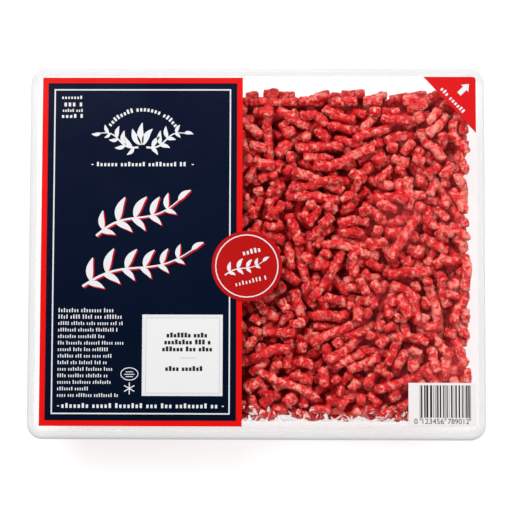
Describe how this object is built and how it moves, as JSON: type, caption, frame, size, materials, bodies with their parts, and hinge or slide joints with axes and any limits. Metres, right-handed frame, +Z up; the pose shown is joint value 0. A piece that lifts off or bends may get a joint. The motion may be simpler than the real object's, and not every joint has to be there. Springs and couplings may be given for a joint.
{
  "type": "meat tray pack",
  "caption": "Shallow clear plastic tray of raw minced meat, closed by a clear sealed film with a large printed label, a round seal, a peel corner and a bar code label.",
  "frame": {"origin": "under the middle of the pack, on the surface that it stands on", "axes": "+X along the long side, to the label's right as it is read; +Y to the label's top; +Z up, out of the film"},
  "size_m": [0.225, 0.184, 0.0329],
  "materials": {
    "tray": "clear thermoformed plastic, glossy",
    "mince": "raw minced meat, moist, red with pale fat",
    "lid_film": "clear thin film, glossy",
    "label_sheet": "red print on a smooth label",
    "label_field": "navy print on a smooth label",
    "label_line": "white print",
    "date_panel": "pale grey print, satin",
    "round_seal": "dark red sticker, glossy",
    "seal_ring": "white print",
    "peel_corner": "red sticker, glossy",
    "peel_arrow": "white print",
    "bar_code_label": "white paper label, satin"
  },
  "bodies": {
    "root": {"tray": "tray", "mince": "mince", "lid_film": "lid_film", "label_sheet": "label_sheet", "label_field": "label_field", "label_line": "label_line", "date_panel": "date_panel", "round_seal": "round_seal", "seal_ring": "seal_ring", "peel_corner": "peel_corner", "peel_arrow": "peel_arrow", "bar_code_label": "bar_code_label"}
  },
  "joints": []
}
